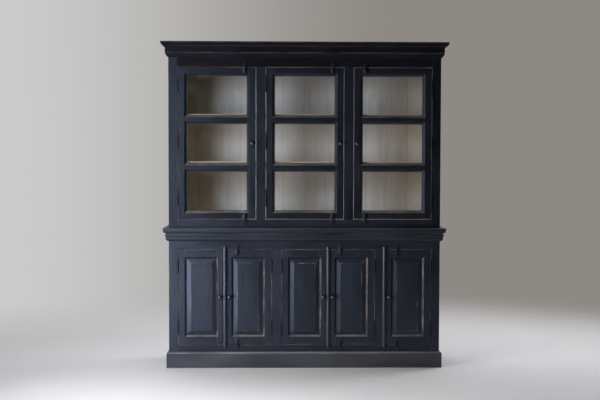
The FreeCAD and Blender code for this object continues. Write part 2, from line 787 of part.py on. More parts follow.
# Nothing is written unless every object is sound
for thing in doc.Objects:
    if "Invalid" in thing.State or "Error" in thing.State:
        raise RuntimeError(f"{thing.Label} failed: {thing.State}")
for sub_part in nodes:
    if sub_part.Shape.isNull() or not sub_part.Shape.isValid():
        raise RuntimeError(f"{sub_part.Label} has no sound shape")

os.makedirs("parts", exist_ok=True)
for sub_part in nodes:
    sub_part.Shape.exportStep(f"parts/{sub_part.Label}.step")
    print(sub_part.Label, len(sub_part.Shape.Solids), "solids", round(sub_part.Shape.Volume / 1000), "cm3")
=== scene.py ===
import bmesh
import bpy
import json
import math
import random
from mathutils import Matrix, Vector
from mathutils.bvhtree import BVHTree
from mathutils.geometry import area_tri, tessellate_polygon
from mathutils.kdtree import KDTree


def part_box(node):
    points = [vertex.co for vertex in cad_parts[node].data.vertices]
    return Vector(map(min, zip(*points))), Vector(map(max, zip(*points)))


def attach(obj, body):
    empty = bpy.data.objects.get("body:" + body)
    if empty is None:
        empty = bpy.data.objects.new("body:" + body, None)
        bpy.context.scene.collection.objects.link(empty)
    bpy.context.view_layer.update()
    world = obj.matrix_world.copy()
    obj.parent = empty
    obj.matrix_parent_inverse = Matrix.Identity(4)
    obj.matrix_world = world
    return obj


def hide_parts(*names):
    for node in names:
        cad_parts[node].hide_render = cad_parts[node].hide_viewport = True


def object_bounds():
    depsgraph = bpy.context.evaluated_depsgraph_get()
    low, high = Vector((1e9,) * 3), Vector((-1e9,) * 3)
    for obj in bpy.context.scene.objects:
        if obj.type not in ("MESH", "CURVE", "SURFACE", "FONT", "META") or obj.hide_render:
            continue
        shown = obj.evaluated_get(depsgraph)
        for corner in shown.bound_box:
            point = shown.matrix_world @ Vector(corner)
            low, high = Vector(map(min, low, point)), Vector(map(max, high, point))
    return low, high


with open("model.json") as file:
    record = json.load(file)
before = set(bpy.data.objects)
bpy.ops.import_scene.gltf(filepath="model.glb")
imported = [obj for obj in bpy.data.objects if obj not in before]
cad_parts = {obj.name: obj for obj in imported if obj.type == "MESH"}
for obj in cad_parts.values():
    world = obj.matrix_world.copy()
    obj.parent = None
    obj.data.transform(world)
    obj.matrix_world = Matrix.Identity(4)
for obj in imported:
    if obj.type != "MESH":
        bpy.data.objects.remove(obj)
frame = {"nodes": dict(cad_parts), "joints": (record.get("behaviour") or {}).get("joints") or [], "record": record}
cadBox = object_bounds()
nodes = frame["nodes"]
bodies = frame["record"]["behaviour"]["bodies"]
bodyOf = {node: body for body, members in bodies.items() for node in members}
jointOf = {joint["child"]: joint for joint in frame["joints"]}
upperDoors = [f"upper_door_{number}" for number in range(1, 4)]
lowerDoors = [f"lower_door_{number}" for number in range(1, 6)]
doors = upperDoors + lowerDoors
hungLeft = {door: jointOf[door]["axis"][2] < 0 for door in doors}
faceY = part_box("upper_face_frame")[0].y  # the plane of the fronts
mm, tiny = 0.001, 1e-6  # in metres
mostly = 0.5  # of a normal, in a face that looks that way
random.seed(11)
print("frame loaded:", len(nodes), "nodes")


# Helpers for node trees
def setSocket(socket, value):
    if isinstance(value, bpy.types.NodeSocket):
        socket.id_data.links.new(value, socket)
    else:
        socket.default_value = value


def addNode(tree, kind, wires=None, out=0, **settings):
    # Returns one of the new node's outputs, or the node itself where out is None
    step = tree.nodes.new(kind)
    for name, value in settings.items():
        setattr(step, name, value)
    for name, value in (wires or {}).items():
        setSocket(step.inputs[name], value)
    return step if out is None else step.outputs[out]


def wire(shader, **sockets):
    for name, value in sockets.items():
        setSocket(shader.inputs[name.replace("_", " ")], value)


def emptyTree(owner):
    owner.use_nodes = True
    owner.node_tree.nodes.clear()
    return owner.node_tree


def newMaterial(name):
    material = bpy.data.materials.new(name)
    tree = emptyTree(material)
    shader = addNode(tree, "ShaderNodeBsdfPrincipled", out=None)
    addNode(tree, "ShaderNodeOutputMaterial", {"Surface": shader.outputs[0]}, None)
    return material, tree, shader


def woodFacts(tree):
    # Place along the grain, shade of the board and wear, which the meshes carry
    facts = (("grainPlace", "Vector"), ("tone", "Fac"), ("wear", "Fac"))
    return [addNode(tree, "ShaderNodeAttribute", out=out, attribute_name=name)
            for name, out in facts]


def objectPlace(tree):
    return addNode(tree, "ShaderNodeTexCoord", out="Object")


def axisOf(vector, axis):
    return addNode(vector.id_data, "ShaderNodeSeparateXYZ", {0: vector}, axis)


def noise(place, stretch, detail, distortion=0.0):
    wires = {0: place, 1: stretch}
    spot = addNode(place.id_data, "ShaderNodeVectorMath", wires, operation="MULTIPLY")
    wires = {"Vector": spot, "Scale": 1.0, "Detail": detail, "Distortion": distortion}
    return addNode(place.id_data, "ShaderNodeTexNoise", wires)


def noises(place, look, *names):
    return [noise(place, *look[name]) for name in names]


def ramp(value, low, high, toLow=0.0, toHigh=1.0):
    wires = {"Value": value, "From Min": low, "From Max": high, "To Min": toLow, "To Max": toHigh}
    return addNode(value.id_data, "ShaderNodeMapRange", wires, interpolation_type="SMOOTHSTEP")


def calc(operation, first, second):
    wires = {0: first, 1: second}
    return addNode(first.id_data, "ShaderNodeMath", wires, operation=operation)


def plus(total, *others):
    for other in others:
        total = calc("ADD", total, other)
    return total


def times(first, second):
    return calc("MULTIPLY", first, second)


def mixed(share, first, second):
    wires = {0: share, 6: first, 7: second}
    return addNode(share.id_data, "ShaderNodeMix", wires, 2, data_type="RGBA")


def bump(height, depth):
    wires = {"Height": height, "Distance": depth, "Strength": 1.0}
    return addNode(height.id_data, "ShaderNodeBump", wires)


# Old blue-black paint over brown wood, rubbed through along the edges. In every look a noise is
# its stretch, detail and distortion, and a range its start and end and what it gives there
paintLook = {
    "deep": (0.0062, 0.0068, 0.0092, 1),
    "faded": (0.0120, 0.0132, 0.0178, 1),
    "undercoat": (0.075, 0.046, 0.029, 1),
    "bareWood": (0.21, 0.165, 0.13, 1),
    "dust": (0.19, 0.18, 0.17, 1),
    "sheen": (0.65, 0.76, 1.0, 1),
    "clouds": ((3, 9, 9), 4),
    "grain": ((5, 170, 170), 4, 0.4),  # open grain under the paint
    "brush": ((9, 520, 520), 2),
    "patches": ((9, 22, 22), 2),
    "crumbs": ((70, 300, 300), 3),
    "fadeFrom": 0.35, "fadeTo": 0.85, "grainRange": (0.52, 0.72, 0, 0.45),
    "undercoatRange": (0.68, 0.90), "bareRange": (0.86, 1.15),
    "lyingRange": (0.4, 0.85), "dustMost": 0.7, "dustRange": (0.2, 0.7, 0.3, 1),
    "toneShare": 0.25, "patchShare": 1.25, "crumbShare": 0.6,
    "roughRange": (0.5, 1.0, 0.30, 0.42), "roughGrain": 0.5, "roughBare": 0.3,
    "bareDepth": 0.8, "brushDepth": 0.0008,
}


def makeBlackPaint(name, gloss, fade, scuffs=0.0, **changes):
    look = {**paintLook, **changes}
    material, tree, shader = newMaterial(name)
    place, tone, wear = woodFacts(tree)
    clouds, grain, brush = noises(place, look, "clouds", "grain", "brush")
    patches, crumbs = noises(place, look, "patches", "crumbs")
    age = plus(clouds, times(tone, look["toneShare"]))
    fading = ramp(age, look["fadeFrom"] - fade, look["fadeTo"] - fade)
    colour = mixed(fading, look["deep"], look["faded"])
    colour = mixed(ramp(grain, *look["grainRange"]), colour, look["faded"])
    # The worn colours also carry the painted highlight on the bevels that face the light
    rubbed = times(plus(patches, -0.5), look["patchShare"])
    rubbed = plus(rubbed, times(plus(crumbs, -0.5), look["crumbShare"]), wear)
    colour = mixed(ramp(rubbed, *look["undercoatRange"]), colour, look["undercoat"])
    bare = ramp(rubbed, *look["bareRange"])
    colour = mixed(bare, colour, look["bareWood"])
    up = axisOf(addNode(tree, "ShaderNodeNewGeometry", out="Normal"), 2)
    lying = ramp(up, *look["lyingRange"], scuffs, look["dustMost"] + scuffs)
    dust = times(lying, ramp(clouds, *look["dustRange"]))
    colour = mixed(dust, colour, look["dust"])
    rough = ramp(plus(clouds, times(grain, look["roughGrain"])), *look["roughRange"])
    rough = plus(rough, times(plus(bare, dust), look["roughBare"]))
    height = calc("SUBTRACT", plus(grain, brush), times(bare, look["bareDepth"]))
    wire(shader, Base_Color=colour, Roughness=rough, Normal=bump(height, look["brushDepth"]))
    wire(shader, Specular_Tint=look["sheen"], Specular_IOR_Level=gloss)
    return material


# Pale wood: thin lime wash on the back boards, wax on the shelves and inside the cases
paleLook = {
    "streaks": ((2.2, 38, 38), 5, 0.6),
    "grain": ((4, 210, 210), 4, 0.5),
    "clouds": ((2.5, 5, 5), 4),
    "thinRange": (0.42, 0.75), "boardRange": (0, 1, 0.45, 0.95),
    "grainRange": (0.58, 0.74, 0, 0.22), "cloudRange": (0.55, 0.8, 0, 0.18), "wearShare": 0.2,
    # The bay shade range paints shade under each shelf: the back is darker towards the top of each bay
    "bayShadeRange": (0.05, 0.38, 0, 0.8), "shelfHalf": 0.011, "grainDepth": 0.0004,
}
limewashLook = {
    **paleLook,
    "wash": (0.80, 0.80, 0.82, 1),
    "thin": (0.65, 0.63, 0.62, 1),
    "stain": (0.40, 0.335, 0.28, 1),
    "roughRange": (0.3, 0.8, 0.74, 0.90),
}
pineLook = {
    **paleLook,
    "wash": (0.82, 0.66, 0.46, 1),
    "thin": (0.73, 0.56, 0.37, 1),
    "stain": (0.45, 0.31, 0.19, 1),
    "roughRange": (0.3, 0.8, 0.62, 0.78),
}


def heightInBay(tree, floors):
    # Height above the board or shelf below, for the painted shade under each shelf
    level = axisOf(objectPlace(tree), 2)
    height = plus(level, -floors[0])
    for below, above in zip(floors, floors[1:]):
        passed = calc("GREATER_THAN", level, above - paleLook["shelfHalf"])
        height = calc("SUBTRACT", height, times(passed, above - below))
    return height


def makePaleWood(name, look, floors=()):
    material, tree, shader = newMaterial(name)
    place, tone, wear = woodFacts(tree)
    streaks, grain, clouds = noises(place, look, "streaks", "grain", "clouds")
    thin = times(ramp(streaks, *look["thinRange"]), ramp(tone, *look["boardRange"]))
    colour = mixed(thin, look["wash"], look["thin"])
    stain = plus(ramp(grain, *look["grainRange"]), ramp(clouds, *look["cloudRange"]),
                 times(wear, look["wearShare"]))
    # Painted shade: darker towards the top of each bay, under the shelf above
    if floors:
        stain = plus(stain, ramp(heightInBay(tree, floors), *look["bayShadeRange"]))
    colour = mixed(stain, colour, look["stain"])
    wire(shader, Base_Color=colour, Normal=bump(grain, look["grainDepth"]))
    wire(shader, Roughness=ramp(streaks, *look["roughRange"]))
    return material


# Unpainted wood at the back and on the top
bareLook = {
    "pale": (0.25, 0.18, 0.12, 1),
    "dark": (0.175, 0.12, 0.077, 1),
    "dirt": (0.085, 0.068, 0.054, 1),
    "drift": ((0.8, 24, 24), 3, 0.8),
    "fibres": ((6, 320, 320), 4),
    "clouds": ((3, 7, 7), 4),
    "rings": 46, "ringRange": (-0.6, 1.0), "fibreRange": (0.45, 0.7, 0, 0.5),
    "dirtRange": (0.5, 0.95, 0, 0.6), "toneShare": 0.3, "wearShare": 0.35,
    "roughRange": (0.3, 0.7, 0.68, 0.88), "ringDepth": 0.12, "grainDepth": 0.0006,
}


def makeBareWood(look=bareLook):
    material, tree, shader = newMaterial("bareWood")
    place, tone, wear = woodFacts(tree)
    drift, fibres, clouds = noises(place, look, "drift", "fibres", "clouds")
    rings = calc("SINE", times(drift, look["rings"]), 0)
    colour = mixed(ramp(rings, *look["ringRange"]), look["pale"], look["dark"])
    colour = mixed(ramp(fibres, *look["fibreRange"]), colour, look["dark"])
    dirt = ramp(plus(clouds, times(tone, look["toneShare"])), *look["dirtRange"])
    dirt = plus(dirt, times(wear, look["wearShare"]))
    colour = mixed(dirt, colour, look["dirt"])
    height = plus(fibres, times(rings, look["ringDepth"]))
    wire(shader, Base_Color=colour, Normal=bump(height, look["grainDepth"]))
    wire(shader, Roughness=ramp(fibres, *look["roughRange"]))
    return material


# Bare iron of the nails and screws: rust over it, and rubbed spots
ironLook = {
    "base": (0.030, 0.028, 0.027, 1),
    "marks": {"pits": ((420, 420, 420), 4), "patches": ((60, 60, 60), 3)},
    "coats": [("patches", (0.45, 0.7, 0, 0.7), (0.075, 0.038, 0.020, 1)),
              ("pits", (0.6, 0.78, 0, 0.8), (0.085, 0.082, 0.08, 1))],
    "roughRange": (0.75, 1.3, 0.48, 0.8),
    "relief": "pits", "depth": 0.0003, "sockets": {"Metallic": 0.55},
}

# Black lacquer on the turned knobs, polished by hands, with brown clouds and turning marks
lacquerLook = {
    "base": (0.0075, 0.0070, 0.0075, 1),
    "marks": {"clouds": ((70, 70, 70), 3), "rings": ((90, 900, 90), 3)},
    "coats": [("clouds", (0.48, 0.72), (0.034, 0.020, 0.013, 1))],
    "roughRange": (0.7, 1.3, 0.17, 0.33),
    "relief": "rings", "depth": 0.00012,
    "sockets": {"Coat_Weight": 0.9, "Coat_Roughness": 0.16, "Specular_Tint": paintLook["sheen"]},
}

# Hardened putty, painted over with the doors, chalky on its lumps
puttyLook = {
    "base": (0.016, 0.017, 0.022, 1),
    "marks": {"lumps": ((130, 130, 130), 3)},
    "coats": [("lumps", (0.5, 0.72, 0, 0.8), (0.11, 0.10, 0.09, 1))],
    "roughRange": (0.3, 0.7, 0.5, 0.75),
    "relief": "lumps", "depth": 0.0006, "sockets": {},
}


def makeSpeckled(name, look):
    # Coats over a base colour, each where its marks are strong
    material, tree, shader = newMaterial(name)
    marks = dict(zip(look["marks"], noises(objectPlace(tree), look["marks"], *look["marks"])))
    colour = look["base"]
    for mark, span, coat in look["coats"]:
        colour = mixed(ramp(marks[mark], *span), colour, coat)
    rough = ramp(plus(*marks.values()), *look["roughRange"])
    wire(shader, Base_Color=colour, Roughness=rough)
    wire(shader, Normal=bump(marks[look["relief"]], look["depth"]), **look["sockets"])
    return material


# Clear old glass with a faint film of dust
glassLook = {
    "tint": (0.975, 0.98, 0.97, 1),
    "film": (0.55, 0.54, 0.52, 1),
    "waves": ((7, 7, 3), 1), "waveDepth": 0.0012,
    "smears": ((9, 9, 14), 5, 0.8), "smearRange": (0.4, 0.8, 0.004, 0.035),
    "shine": 0.022, "roughness": 0.02, "grazing": 0.5, "grazingPower": 5.0,
}


def makeGlass(look=glassLook):
    material = bpy.data.materials.new("oldGlass")
    tree = emptyTree(material)
    waves, smears = noises(objectPlace(tree), look, "waves", "smears")
    wires = {"Roughness": look["roughness"], "Normal": bump(waves, look["waveDepth"])}
    shine = addNode(tree, "ShaderNodeBsdfGlossy", wires)
    clear = addNode(tree, "ShaderNodeBsdfTransparent", {"Color": look["tint"]})
    film = addNode(tree, "ShaderNodeBsdfDiffuse", {"Color": look["film"]})
    facing = addNode(tree, "ShaderNodeLayerWeight", out="Facing")
    edgeOn = times(calc("POWER", facing, look["grazingPower"]), look["grazing"])
    wires = {0: ramp(smears, *look["smearRange"]), 1: clear, 2: film}
    hazy = addNode(tree, "ShaderNodeMixShader", wires)
    wires = {0: plus(edgeOn, look["shine"]), 1: hazy, 2: shine}
    surface = addNode(tree, "ShaderNodeMixShader", wires)
    addNode(tree, "ShaderNodeOutputMaterial", {"Surface": surface}, None)
    return material


corniceShadeSheen = (0.80, 0.74, 0.76, 1)  # painted shade on the cornice and the top rail: a duller, less blue reflection
blackPaint = makeBlackPaint("blackPaint", gloss=0.28, fade=0.0)
# Painted shade on the cornice and the top rail under it: darker, duller paint
corniceShadePaint = makeBlackPaint("corniceShadePaint", gloss=0.09, fade=-0.15, sheen=corniceShadeSheen)
rubbedPaint = makeBlackPaint("rubbedPaint", gloss=0.5, fade=0.05)  # lower case, polished by use
polishedPaint = makeBlackPaint("polishedPaint", gloss=0.75, fade=0.15)  # cover strips
fadedPaint = makeBlackPaint("fadedPaint", gloss=0.5, fade=0.4, scuffs=0.22)  # plinth
ironPaint = makeBlackPaint("ironPaint", gloss=0.3, fade=-0.2, brushDepth=0.00015)  # latches, hinges
limewash = makePaleWood("limewash", limewashLook)
waxedPine = makePaleWood("waxedPine", pineLook)
bareWood = makeBareWood()
oldIron = makeSpeckled("oldIron", ironLook)
knobLacquer = makeSpeckled("knobLacquer", lacquerLook)
oldPutty = makeSpeckled("oldPutty", puttyLook)
oldGlass = makeGlass()
print("materials made")


# Reads a node as its closed solids: one is whole when each of its edges has met its other side
def readSolids(node):
    mesh = nodes[node].data
    places = [tuple(round(c * 1e6) for c in vertex.co) for vertex in mesh.vertices]  # micrometres
    solids, faces, waiting = [], [], {}
    for polygon in mesh.polygons:
        corners = [places[index] for index in polygon.vertices]
        faces.append(corners)
        for pair in zip(corners, corners[1:] + corners[:1]):
            back = pair[::-1]
            if waiting.get(back):
                waiting[back] -= 1
                if not waiting[back]:
                    del waiting[back]
            else:
                waiting[pair] = waiting.get(pair, 0) + 1
        if not waiting:
            solids.append(solidFrom(faces))
            faces = []
    return solids


def boxOf(spots):
    return [Vector(most(spot[axis] for spot in spots) for axis in range(3)) for most in (min, max)]


def solidFrom(faces):
    order = {}
    for corners in faces:
        for corner in corners:
            order.setdefault(corner, len(order))
    points = [Vector(corner) * tiny for corner in order]
    indexed = [[order[corner] for corner in corners] for corners in faces]
    low, high = boxOf(points)
    tree = BVHTree.FromPolygons(points, indexed)
    return {"points": points, "faces": indexed, "tree": tree,
            "low": low, "high": high, "middle": (low + high) / 2}


solidsOf = {node: readSolids(node) for node in nodes if not node.endswith(("knob", "latch"))}
print("solids read:", sum(len(solids) for solids in solidsOf.values()))

# Every member gets rounded arrises and a band along them where the paint wears
plain = {"round": 0.0009, "sharp": math.radians(26), "band": 0.0035, "isFine": False}
moulded = {**plain, "round": 0.0004, "isFine": True}
raised = {**plain, "sharp": math.radians(10), "band": 0.008}
filed = {**plain, "round": 0.00025}
dressing = {
    "flat": math.radians(0.6), "crease": 20,
    "shortest": 0.003,  # arris that is still rounded
    "narrowest": 0.003,  # face that still gets a band
    "bandMost": 0.3, "bandTries": (1.0, 0.4),
    "step": 0.015, "halvings": 6, "wearStep": 0.008, "near": 0.002, "reach": 0.0012, "lift": 0.0004,
    "spindleBore": 0.00315, "shankBore": 0.0041, "calmReach": 0.016, "calmShare": 0.5,
    # The lit bevel shares give worn paint that paints a highlight on the bevels that face the light
    "upperLitBevel": 0.85, "lowerLitBevel": 0.78, "bevelFrom": 0.3, "bevelTo": 0.95,
    "squareEnd": 0.9, "mitredEnd": 0.3, "foldSlack": 1.02, "probeStep": 1e-5, "grainShift": 40,
}
probeWay = Vector((0.31, 0.52, 0.795)).normalized()


def inside(solid, point):
    low, high = solid["low"], solid["high"]
    if any(point[axis] <= low[axis] or point[axis] >= high[axis] for axis in range(3)):
        return False
    hits, start = 0, point
    while True:
        spot = solid["tree"].ray_cast(start, probeWay)[0]
        if spot is None:
            return hits % 2 == 1
        hits += 1
        start = spot + probeWay * dressing["probeStep"]


def isCovered(edge, share, others):
    # True where another solid lies against one of the two faces that meet in the edge
    spot = edge.verts[0].co.lerp(edge.verts[1].co, share)
    for loop in edge.link_loops:
        normal = loop.face.normal
        along = (loop.link_loop_next.vert.co - loop.vert.co).normalized()
        probe = spot + normal.cross(along) * dressing["reach"] + normal * dressing["lift"]
        if any(inside(other, probe) for other in others):
            return True
    return False


def arrises(work, sharp):
    return [edge for edge in work.edges
            if len(edge.link_faces) == 2 and edge.calc_length() > dressing["shortest"]
            and edge.calc_face_angle_signed(0) > sharp]


def splitAtJoints(work, sharp, others):
    # Divides long arrises where a neighbour begins or ends
    for edge in arrises(work, sharp):
        count = max(2, math.ceil(edge.calc_length() / dressing["step"]))
        shares = [(index + 0.5) / count for index in range(count)]
        states = [isCovered(edge, share, others) for share in shares]
        for index in range(1, count - 1):  # a gap narrower than a step stays part of the joint
            if states[index - 1] == states[index + 1]:
                states[index] = states[index - 1]
        cuts = []
        for index in range(count - 1):
            if states[index] != states[index + 1]:
                share, step = (index + 1) / count, 0.25 / count
                for _ in range(dressing["halvings"]):
                    isLow = isCovered(edge, share, others) == states[index]
                    share += step if isLow else -step
                    step /= 2
                cuts.append(share)
        start, end = edge.verts[0], edge.verts[1].co.copy()
        rest, done = edge, 1.0
        for share in reversed(cuts):
            spot = start.co.lerp(end, share)
            corner = bmesh.utils.edge_split(rest, start, share / done)[1]
            corner.co = spot
            rest = next(link for link in corner.link_edges if link.other_vert(corner) is start)
            done = share


def isFolded(face):
    # A face that crosses itself has more area as triangles than as a whole
    spots = [vertex.co for vertex in face.verts]
    triangles = tessellate_polygon([spots])
    area = sum(area_tri(*[spots[index] for index in corners]) for corners in triangles)
    return area > face.calc_area() * dressing["foldSlack"] + 1e-8


def addBand(work, face, width):
    # Sets a band inside a flat face, narrower or none where it would fold over
    way = face.normal.copy()
    low, high = boxOf([vertex.co for vertex in face.verts])
    for share in dressing["bandTries"]:
        ring = bmesh.ops.inset_individual(
            work, faces=[face], thickness=width * share, use_even_offset=True)["faces"]
        pieces = ring + [face]
        for piece in pieces:
            piece.normal_update()
        inBox = all(low[axis] - tiny <= vertex.co[axis] <= high[axis] + tiny
                    for vertex in face.verts for axis in range(3))
        if inBox and all(part.normal.dot(way) > mostly and not isFolded(part) for part in pieces):
            return ring
        face = bmesh.ops.dissolve_faces(work, faces=pieces, use_verts=False)["region"][0]
    return []


def coveredHoles(door):
    # Bores for spindles and shanks, which the latches and the knob hide: x, z and radius
    holes = []
    for child, joint in jointOf.items():
        if child.startswith(f"{door}_"):
            x, _, z = joint["pos_m"]
            holes.append((x, z, dressing["spindleBore"]))
    low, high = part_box(f"{door}_knob")
    x, _, z = (low + high) / 2
    holes.append((x, z, dressing["shankBore"]))
    return holes


def inHole(spots, holes):
    return any(all(math.hypot(spot.x - x, spot.z - z) < radius for spot in spots)
               for x, z, radius in holes)


def isEnd(face):
    # Mitred or square end of a length of moulding
    x, y, _ = face.normal
    return y > dressing["squareEnd"] or abs(x * y) > dressing["mitredEnd"]


def bareSolid(solid, holes):
    work = bmesh.new()
    corners = [work.verts.new(point) for point in solid["points"]]
    for face in solid["faces"]:
        if not inHole([solid["points"][index] for index in face], holes):
            work.faces.new([corners[index] for index in face])
    if holes:
        rims = [edge for edge in work.edges if edge.is_boundary]
        bmesh.ops.holes_fill(work, edges=rims, sides=0)
        loose = [vertex for vertex in work.verts if not vertex.link_faces]
        bmesh.ops.delete(work, geom=loose, context="VERTS")
    work.normal_update()
    bmesh.ops.dissolve_limit(
        work, angle_limit=dressing["flat"], verts=work.verts[:], edges=work.edges[:])
    work.normal_update()
    return work


def dressSolid(solid, others, style, holes):
    work = bareSolid(solid, holes)
    splitAtJoints(work, style["sharp"], others)
    fine = style["isFine"]
    edges = [edge for edge in arrises(work, style["sharp"])
             if not (fine and any(isEnd(face) for face in edge.link_faces))]
    samples = []
    for edge in edges:
        worn = 0.0 if isCovered(edge, 0.5, others) else 1.0
        count = max(1, math.ceil(edge.calc_length() / dressing["wearStep"]))
        for index in range(count):
            spot = edge.verts[0].co.lerp(edge.verts[1].co, (index + 0.5) / count)
            samples.append((spot, worn))
    nearest = KDTree(len(samples))
    for index, (spot, worn) in enumerate(samples):
        nearest.insert(spot, index)
    nearest.balance()

    def wornNear(face):
        return samples[nearest.find(face.calc_center_median())[1]][1]

    # Rounded faces carry index 1 and bands index 2 until the materials are given
    bmesh.ops.bevel(work, geom=edges, offset=style["round"], segments=2, profile=0.5,
                    affect="EDGES", clamp_overlap=not fine, material=1)
    for face in work.faces[:]:
        width = 2 * face.calc_area() / max(face.calc_perimeter(), 1e-9)
        isWide = width > dressing["narrowest"] and not (fine and isEnd(face))
        if face.material_index == 0 and isWide:
            for piece in addBand(work, face, min(style["band"], width * dressing["bandMost"])):
                piece.material_index = 2
    work.normal_update()
    wearOf = work.loops.layers.float.new("wear")
    for face in work.faces:
        for loop in face.loops:
            if face.material_index == 1:
                loop[wearOf] = wornNear(face)
            if face.material_index != 2:
                continue
            for other in loop.edge.link_faces:
                if other.material_index == 1:
                    for end in (loop, loop.link_loop_next):
                        end[wearOf] = max(end[wearOf], wornNear(other))
    return work, wearOf


def calmAreas(door):
    # Round the glass and the panel, as low and high x and z; hands hardly rub the paint there
    areas, reach = [], dressing["calmReach"]
    for solid in solidsOf.get(f"{door}_glass", []) + solidsOf.get(f"{door}_panel", []):
        low, high = solid["low"], solid["high"]
        areas.append((low.x - reach, high.x + reach, low.z - reach, high.z + reach))
    return areas


def inArea(spot, areas):
    return any(left < spot.x < right and low < spot.z < high for left, right, low, high in areas)


def isBevel(slope):
    return dressing["bevelFrom"] < slope < dressing["bevelTo"]


def litBevelWear(normal, door):
    # Worn paint that paints a highlight on the bevels that face up and to the left, towards the light: under each
    # pane, and under and to the right of each panel
    if door in upperDoors:
        return dressing["upperLitBevel"] if isBevel(normal.z) else 0.0
    return dressing["lowerLitBevel"] if isBevel(normal.z) or isBevel(-normal.x) else 0.0


def isNear(solid, other):
    reach = dressing["near"]
    return all(other["low"][axis] < solid["high"][axis] + reach
               and other["high"][axis] > solid["low"][axis] - reach for axis in range(3))


# Helpers for meshes and objects
def setNumbers(mesh, name, values, domain="POINT"):
    mesh.attributes.new(name, "FLOAT", domain).data.foreach_set("value", values)


def setVectors(mesh, name, vectors):
    flat = [number for vector in vectors for number in vector]
    mesh.attributes.new(name, "FLOAT_VECTOR", "POINT").data.foreach_set("vector", flat)


def smooth(mesh, crease):
    mesh.shade_smooth()
    mesh.set_sharp_from_angle(angle=math.radians(crease))


def meshFrom(name, work):
    mesh = bpy.data.meshes.new(name)
    work.to_mesh(mesh)
    work.free()
    return mesh


def inScene(name, data):
    thing = bpy.data.objects.new(name, data)
    bpy.context.scene.collection.objects.link(thing)
    return thing


def addPiece(name, mesh, body, *replaced, slot):
    piece = inScene(name, mesh)
    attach(piece, body)
    if replaced:
        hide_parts(*replaced)


slotOf = {"painted": "black_wood", "washed": "pale_wood", "waxed": "pale_wood", "filed": "iron"}


def dressNode(node, finish, materials, worn, pick=None, style=plain):
    # One piece for a node; pick chooses the material of a face from its normal and its solid
    points, faces, wear, place, tone, picked = [], [], [], [], [], []
    body, name = bodyOf[node], f"{node}_{finish}"
    calm = calmAreas(body) if node.endswith("_frame") else []
    holes = coveredHoles(body) if node == f"{body}_frame" else []
    everyone = [solid for other in solidsOf if bodyOf[other] == body for solid in solidsOf[other]]
    for solid in solidsOf[node]:
        near = [other for other in everyone if other is not solid and isNear(solid, other)]
        work, wearOf = dressSolid(solid, near, style, holes)
        size = solid["high"] - solid["low"]
        order = sorted(range(3), key=lambda axis: -size[axis])  # grain along the longest side
        shift = Vector([random.uniform(0, dressing["grainShift"]) for _ in range(3)])
        shade = random.random()
        first = len(points)
        work.verts.index_update()
        for vertex in work.verts:
            points.append(vertex.co.copy())
            place.append(Vector([vertex.co[axis] for axis in order]) + shift)
            tone.append(shade)
        for face in work.faces:
            faces.append([first + vertex.index for vertex in face.verts])
            picked.append(pick(face.normal, solid) if pick else 0)
            isCalm = inArea(face.calc_center_median(), calm)
            share = worn * (dressing["calmShare"] if isCalm else 1.0)
            # Worn paint as a painted highlight on the bevels that face the light
            litBevelLeast = litBevelWear(face.normal, body) if isCalm else 0.0
            wear.extend(max(litBevelLeast, loop[wearOf] * share) for loop in face.loops)
        work.free()
    mesh = bpy.data.meshes.new(name)
    mesh.from_pydata(points, [], faces)
    setVectors(mesh, "grainPlace", place)
    setNumbers(mesh, "tone", tone)
    setNumbers(mesh, "wear", wear, "CORNER")
    for material in materials:
        mesh.materials.append(material)
    mesh.polygons.foreach_set("material_index", picked)
    smooth(mesh, dressing["crease"])
    addPiece(name, mesh, body, node, slot=slotOf[finish])


# How much of the paint is rubbed off along the arrises
wearing = {
    "frame": 0.95, "panel": 0.75, "astragal": 0.5, "sides": 0.6, "hinge": 0.5,
    "washed": 0.8, "waxed": 0.6,
}


def innerFace(normal, solid):
    # The sides are painted outside and waxed inside
    middle = solid["middle"].x
    return 1 if normal.x * middle < -mostly * abs(middle) else 0


def byHeight(normal, solid):
    # Top rail 1, which takes the painted shade of the cornice; bottom rail 2
    if solid["low"].z > glazed[1].z:
        return 1
    return 2 if solid["high"].z < glazed[0].z + 10 * mm else 0


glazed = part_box("upper_door_1_frame")
# The cornice and the top rail of the upper face frame take the darker paint that is painted shade
caseParts = {
    "plinth_boards": (1.05, [fadedPaint]),
    "lower_face_frame": (0.95, [rubbedPaint]),
    "waist_moulding": (1.3, [rubbedPaint]),
    "upper_face_frame": (0.9, [blackPaint, corniceShadePaint, rubbedPaint]),
    "cornice_moulding": (1.15, [corniceShadePaint]),
}
for node, (worn, materials) in caseParts.items():
    pick = byHeight if len(materials) > 1 else None
    style = moulded if node.endswith("_moulding") else plain
    dressNode(node, "painted", materials, worn, pick, style)
for node, paint in (("lower_sides", rubbedPaint), ("upper_sides", blackPaint)):
    dressNode(node, "painted", [paint, waxedPine], wearing["sides"], innerFace)
for door in doors:
    for part in ("frame", "panel", "astragal"):
        node = f"{door}_{part}"
        if node in nodes:
            paint = rubbedPaint if door in lowerDoors else blackPaint
            paint = polishedPaint if part == "astragal" else paint
            style = raised if part == "panel" else plain
            dressNode(node, "painted", [paint], wearing[part], style=style)
print("painted wood dressed")


def backFace(normal, solid):
    return 1 if normal.y > mostly else 0


def outerFace(normal, solid):
    # The top of the cupboard and the back edges of the boards
    onTop = normal.z > mostly and solid["high"].z > cadBox[1].z - mm
    return 1 if onTop or normal.y > mostly else 0


